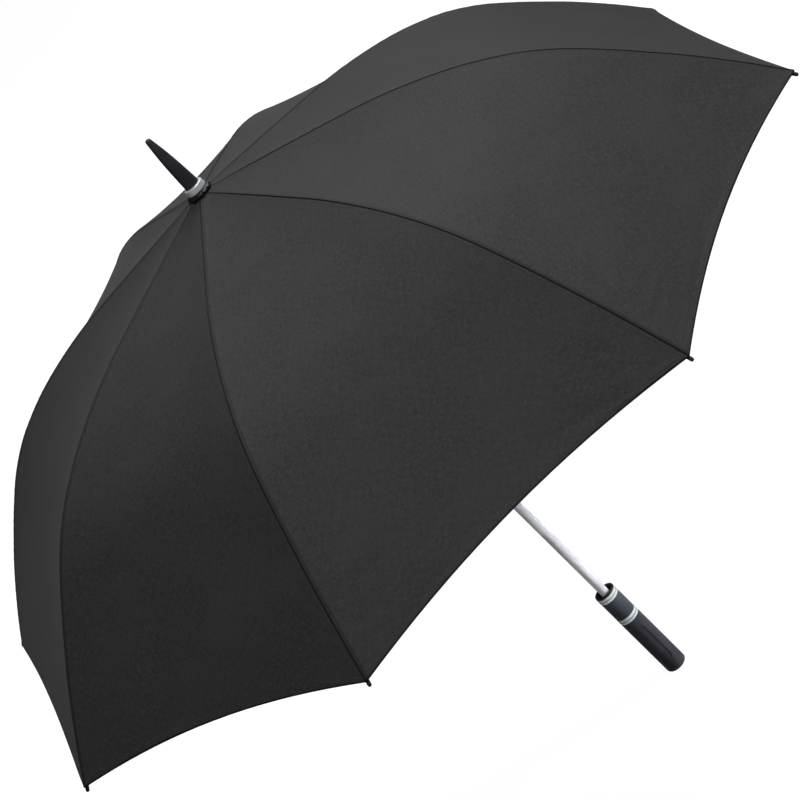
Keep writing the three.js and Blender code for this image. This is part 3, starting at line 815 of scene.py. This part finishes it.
crown_profile = [
    (BORE_R, 898), (8.4, 898), (8.4, 911), (NOTCH_R - 1, 911), (NOTCH_R, 912), (NOTCH_R, 921.5),
    (BORE_R, 921.5),
]
crown = notches(turned("crown_notched", soften(crown_profile, 0.5), 96), 910, 923)
crown_groove = turned("groove", round_section(WIRE_R + GAP, HINGE_R, CROWN_Z), 96)
combine(crown, [crown_groove], "DIFFERENCE")
finished(smooth(crown), BLACK, "frame", "black_plastic", "crown")

CAP_LOBES = 12
CAP_NOTCH_R = 2
CAP_NOTCH_AT = 18.7  # radius on which the notches are centred


def cap_radius(r, z, azimuth):
    """Half-round notches round the cap's rim."""
    if r < 14:
        return r
    step = 2 * math.pi / CAP_LOBES
    off = abs((azimuth / step) % 1 - 0.5) * step * CAP_NOTCH_AT
    if off >= CAP_NOTCH_R:
        return r
    return min(r, CAP_NOTCH_AT - math.sqrt(CAP_NOTCH_R**2 - off * off))


cap_profile = [
    (BORE_R, 925.1), (17.2, 925.1), (18.1, 925.8), (18.2, 926.8), (17.9, 927.8), (16.6, 929.2), (14.2, 930.2),
    (12.9, 930.4), (BORE_R, 930.4),
]
cap = turned("cap_rosette", soften(cap_profile, 0.5, 3), 480, cap_radius)
finished(smooth(cap, 40), BLACK, "frame", "black_plastic", "canopy_cap")

collar_profile = [
    (BORE_R, 930.7), (13.6, 930.7), (14.0, 931.3), (13.5, 938.2), (12.9, 939.0), (12.3, 939.2), (10.6, 939.2),
    (BORE_R, 939.2),
]
collar = turned("collar_band", soften(collar_profile, 0.5), 96)
finished(smooth(collar), COLLAR, "frame", "satin_aluminium", "ferrule_collar")

ferrule_profile = [
    (0, 952), (BORE_R, 952), (BORE_R, 939.5), (9.8, 939.5), (10.1, 940), (9.7, 950.3), (9, 964), (8.2, 977),
    (7, 991.5), (5.4, 1005.3), (4.1, 1015.6), (3.65, 1017.8), (2.6, 1019), (0, 1019),
]
ferrule = turned("ferrule_cone", soften(ferrule_profile, 0.7), 96)
finished(smooth(ferrule), FERRULE, "frame", "black_plastic", "ferrule")

# ---------- runner ----------
runner_profile = [
    (BORE_R, 14), (8.6, 14), (9.2, 13), (9.2, 5), (NOTCH_R - 1, 5), (NOTCH_R, 4), (NOTCH_R, -4),
    (NOTCH_R - 1, -5), (9.2, -5), (9.2, -44), (12.4, -45), (12.4, -47.5), (10.9, -48.5), (10.9, -74.5),
    (9.4, -74.5), (9.4, -50), (BORE_R, -50),
]
runner_profile = [(r, z + RUNNER_Z) for r, z in runner_profile]
runner = notches(turned("runner_sleeve", soften(runner_profile, 0.5), 96), RUNNER_Z - 7, RUNNER_Z + 5.01)
runner_groove = turned("groove", round_section(WIRE_R + GAP, HINGE_R, RUNNER_Z), 96)
on_button = place(BUTTON_AZIMUTH, 0, 0)
nose_low, nose_high = (z + RUNNER_TRAVEL for z in NOSE_SPAN)
catch_window = block("window", (8, 13), (-3.2, 3.2), (nose_low - 0.3, nose_high + 0.3), on_button)
tongue_pocket = block("pocket", (5, 8.7), (-1.6, 1.6), (PUSHER_Z - 2.6, PUSHER_Z + 2.6), on_button)
combine(runner, [runner_groove, catch_window, tongue_pocket], "DIFFERENCE")
finished(smooth(runner), BLACK, "runner", "black_plastic", "runner")

for node, z, body in (("crown_wire", CROWN_Z, "frame"), ("runner_wire", RUNNER_Z, "runner")):
    round_wire = turned(f"{node}_ring", round_section(WIRE_R, HINGE_R, z), 96)
    finished(smooth(round_wire, 50), STEEL, body, "spring_steel", node)

# ---------- handle ----------
RECESS_LENGTH, RECESS_WIDTH, RECESS_Z = 64, 7.5, 55.5
RECESS_FLOOR = 13.8
HANDLE_BORE_R = 12.5
GRIP_TOP = 101
SLEEVE_R = 15
RING_R = 15.3
RING_HEIGHT = 8.2
GROOVE_R = 14.5


def past_recess(z, azimuth):
    """Distance outside the outline of the long rounded recess, negative inside it."""
    off = (azimuth - RECESS_AZIMUTH + math.pi) % (2 * math.pi) - math.pi
    if abs(off) > 0.6:
        return 9.0
    half = (RECESS_LENGTH - RECESS_WIDTH) / 2
    return math.hypot(GRIP_R * math.sin(off), max(0.0, abs(z - RECESS_Z) - half)) - RECESS_WIDTH / 2


def grip_radius(r, z, azimuth):
    outside = past_recess(z, azimuth)
    if r < GRIP_R - 0.01 or outside > 0.2:
        return r
    share = float(smoothstep((0.1 - outside) / 0.55))
    floor = RECESS_FLOOR / math.cos(azimuth - RECESS_AZIMUTH)
    return r + (min(floor, r) - r) * share


grip_heights = np.concatenate([
    np.linspace(4.8, 22.5, 12)[1:], np.arange(22.75, 28.1, 0.25), np.linspace(29, 82, 30),
    np.arange(82.75, 88.4, 0.25), np.linspace(89, 100.2, 8),
])
grip_profile = [
    (0, 0), (9.4, 0), (10.4, 0.05), (11.7, 0.3), (12.7, 0.7), (13.7, 1.45), (14.5, 2.4), (15.0, 3.6),
    (GRIP_R, 4.8),
]
grip_profile += [(GRIP_R, z) for z in grip_heights]
grip_profile += [
    (GRIP_R - 0.12, GRIP_TOP - 0.3), (GRIP_R - 0.45, GRIP_TOP), (HANDLE_BORE_R, GRIP_TOP),
    (HANDLE_BORE_R, 7.6), (0, 7.6),
]
fine = RECESS_AZIMUTH + np.arange(-5.75, 5.76, 0.25) / GRIP_R
rest_of_turn = np.linspace(fine[-1], fine[0] + 2 * math.pi, 76)[1:-1]
grip = turned("handle_soft_grip", grip_profile, np.concatenate([fine, rest_of_turn]), grip_radius)
# Mask of a band down the recess wall, where the soft-touch material paints shade.
recess_shade = []
for vertex in grip.data.vertices:
    x, y, z = vertex.co / MM
    on_wall = abs(past_recess(z, math.atan2(y, x)) + 0.45) < 0.6
    recess_shade.append(1.0 if on_wall and math.hypot(x, y) > 13 else 0.0)
grip.data.attributes.new("recess_shade", "FLOAT", "POINT").data.foreach_set("value", recess_shade)
finished(smooth(grip, 50), SOFT, "frame", "soft_touch", "handle_grip")


def button_window():
    return stadium_cutter("window", 9.4, 16.4, BUTTON_AZIMUTH, BUTTON_Z, 4, 20)


core_profile = [
    (BORE_R, 8), (12.2, 8), (12.2, 151.6), (14.9, 151.6), (15.0, 152.2), (14.9, 153.4), (14.3, 154),
    (12, 154), (11.5, 153.4), (11.5, 140), (BORE_R, 140),
]
core = turned("handle_inner_cup", soften(core_profile, 0.35), 96)
arm_channel = block("channel", (5, 9.5), (-2.9, 2.9), (130, 141), on_button)
combine(core, [button_window(), arm_channel], "DIFFERENCE")
finished(smooth(core), BLACK, "frame", "black_plastic", "handle_core")


def trim_ring(name, low, node):
    mid, high = low + RING_HEIGHT / 2, low + RING_HEIGHT
    profile = [
        (HANDLE_BORE_R, low), (RING_R - 0.4, low), (RING_R, low + 0.4), (RING_R, mid - 0.65),
        (GROOVE_R, mid - 0.4), (GROOVE_R, mid + 0.4), (RING_R, mid + 0.65), (RING_R, high - 0.4),
        (RING_R - 0.4, high), (HANDLE_BORE_R, high),
    ]
    obj = turned(name, soften(profile, 0.25), 96)
    # Mask of the groove, where the ring's material paints shade.
    points = np.zeros(3 * len(obj.data.vertices), np.float32)
    obj.data.vertices.foreach_get("co", points)
    x, y, z = points.reshape(-1, 3).T / MM
    in_groove = (np.hypot(x, y) > 14) & (np.abs(z - mid) < 0.62)
    layer = obj.data.attributes.new("groove", "FLOAT", "POINT")
    layer.data.foreach_set("value", in_groove.astype(np.float32))
    finished(smooth(obj, 28), RING, "frame", "grey_plastic", node)


trim_ring("trim_ring_low", 101.3, "ring_lower")
trim_ring("trim_ring_high", 143.1, "ring_upper")

sleeve_profile = [(HANDLE_BORE_R, 109.8), (SLEEVE_R, 109.8), (SLEEVE_R, 142.8), (HANDLE_BORE_R, 142.8)]
sleeve = turned("button_sleeve", soften(sleeve_profile, 0.3), 96)
combine(sleeve, [button_window()], "DIFFERENCE")
finished(smooth(sleeve), SLATE, "frame", "slate_plastic", "mid_sleeve")


def make_button():
    """A push pad with rolled edges that follows the sleeve's curve, with its catch arm."""
    width, height, corner, face_r = 8.8, 15.8, 4.0, 16.2
    steps = 10
    rings = [
        (0.0, 8.0), (0.0, 14.8), (0.15, 15.25), (0.5, 15.6), (1.1, 15.75), (2.0, 15.7), (3.0, 15.6),
        (3.9, 15.55),
    ]
    vertices = []
    for inset, level in rings:
        w, h, c = width / 2 - inset, height / 2 - inset, max(corner - inset, 0.08)
        for q in range(4):
            cx = (w - c) * (1 if q in (0, 3) else -1)
            cz = (h - c) * (1 if q in (0, 1) else -1)
            for k in range(steps + 1):
                a = math.pi / 2 * (q + k / steps)
                y = cx + c * math.cos(a)
                z = cz + c * math.sin(a)
                curve = math.sqrt(face_r**2 - y * y) - face_r if level > 10 else 0
                vertices.append((level + 0.45 + curve if level > 10 else level, y, z + BUTTON_Z))
    pad = outward(link("button_pad", vertices, tube_faces(len(rings), 4 * (steps + 1))))
    pad.data.transform(on_button)
    arm = bevelled(block("arm", (8, 8.8), (-2, 2), (BUTTON_Z, 154), on_button), 0.25, 2)
    nose = bevelled(block("nose", (8.5, 10.2), (-2, 2), NOSE_SPAN, on_button), 0.25, 2)
    combine(pad, [arm, nose], "UNION")
    pocket_place = on_button @ Matrix.Translation((9.8 * MM, 0, BUTTON_Z * MM))
    pocket = pin("pocket", 2.4, 5.6, pocket_place @ Matrix.Rotation(math.pi / 2, 4, "Z"))
    return combine(pad, [pocket], "DIFFERENCE")


button = make_button()
finished(smooth(button), BLACK, "button", "black_plastic", "release_button")

# ---------- carried-over CAD nodes inside the shaft ----------
for node in ("spring_seat", "spring_pusher"):
    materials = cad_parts[node].data.materials
    materials.clear()
    materials.append(STEEL)


# ---------- stage, light and camera ----------
def seen_by_camera(tree, as_light, as_background, socket):
    """A backdrop that is brighter behind the object than it shines on it."""
    path = tree.nodes.new("ShaderNodeLightPath")
    strength = tree.nodes.new("ShaderNodeMapRange")
    strength.inputs["To Min"].default_value = as_light
    strength.inputs["To Max"].default_value = as_background
    tree.links.new(path.outputs["Is Camera Ray"], strength.inputs["Value"])
    tree.links.new(strength.outputs["Result"], socket)


def stage():
    size = 40.0
    mesh = bpy.data.meshes.new("floor")
    corners = [(-size, -size, 0), (size, -size, 0), (size, size, 0), (-size, size, 0)]
    mesh.from_pydata(corners, [], [(0, 1, 2, 3)])
    floor = bpy.data.objects.new("floor", mesh)
    floor.location = (0, 0, -0.0005)
    bpy.context.scene.collection.objects.link(floor)
    material = bpy.data.materials.new("pale_floor")
    material.use_nodes = True
    shader = material.node_tree.nodes["Principled BSDF"]
    shader.inputs["Base Color"].default_value = (0.1, 0.1, 0.1, 1)
    shader.inputs["Roughness"].default_value = 0.9
    shader.inputs["Specular IOR Level"].default_value = 0.0
    shader.inputs["Emission Color"].default_value = (1, 1, 1, 1)
    seen_by_camera(material.node_tree, 0.04, 0.96, shader.inputs["Emission Strength"])
    mesh.materials.append(material)

    world = bpy.data.worlds.new("studio")
    world.use_nodes = True
    background = world.node_tree.nodes["Background"]
    background.inputs["Color"].default_value = (1, 1, 1, 1)
    seen_by_camera(world.node_tree, 0.04, 1.0, background.inputs["Strength"])
    bpy.context.scene.world = world


def area_light(name, location, target, size, power, spread=180, glossy=True):
    light = bpy.data.lights.new(name, "AREA")
    light.energy = power
    light.shape = "DISK"
    light.size = size
    light.spread = math.radians(spread)
    obj = bpy.data.objects.new(name, light)
    obj.visible_glossy = glossy
    obj.location = location
    obj.rotation_mode = "QUATERNION"
    obj.rotation_quaternion = (Vector(target) - Vector(location)).to_track_quat("-Z", "Y")
    bpy.context.scene.collection.objects.link(obj)


stage()
area_light("key", (2.8, 0.75, 4.25), (0, 0, 0.8), 2.4, 215)
area_light("top_fill", (0.4, -2.2, 4.3), (0, 0, 0.9), 2.0, 155)
area_light("back_fill", (-3.9, -1.6, 0.8), (0, 0, 0.5), 2.5, 38, glossy=False)
area_light("far_fill", (1.5, 4.2, 1.2), (0, 0, 0.5), 2.5, 80, glossy=False)
area_light("handle_side", (1.2, -1.2, 0.35), (0, 0, 0.1), 0.6, 1.9, 26)
area_light("handle_front", (-0.9, -2.6, 0.9), (0, 0, 0.15), 0.6, 0.3, 16)

CAMERA_PLACE = (-1.3662, -3.3341, 1.9999)
CAMERA_AIM = (0.1020, 0.2742, 0.4302)
CAMERA_ROLL = math.radians(-45.406)
CAMERA_LENS = 138.65
camera_data = bpy.data.cameras.new("camera")
camera_data.lens = CAMERA_LENS
camera_data.sensor_width = 36
camera_data.clip_end = 200
camera = bpy.data.objects.new("camera", camera_data)
camera.location = CAMERA_PLACE
camera.rotation_mode = "QUATERNION"
aim = (Vector(CAMERA_AIM) - Vector(CAMERA_PLACE)).to_track_quat("-Z", "Y")
camera.rotation_quaternion = aim @ Matrix.Rotation(CAMERA_ROLL, 3, "Z").to_quaternion()
bpy.context.scene.collection.objects.link(camera)
bpy.context.scene.camera = camera
bpy.context.scene.view_settings.view_transform = "Standard"
bpy.context.scene.view_settings.look = "None"
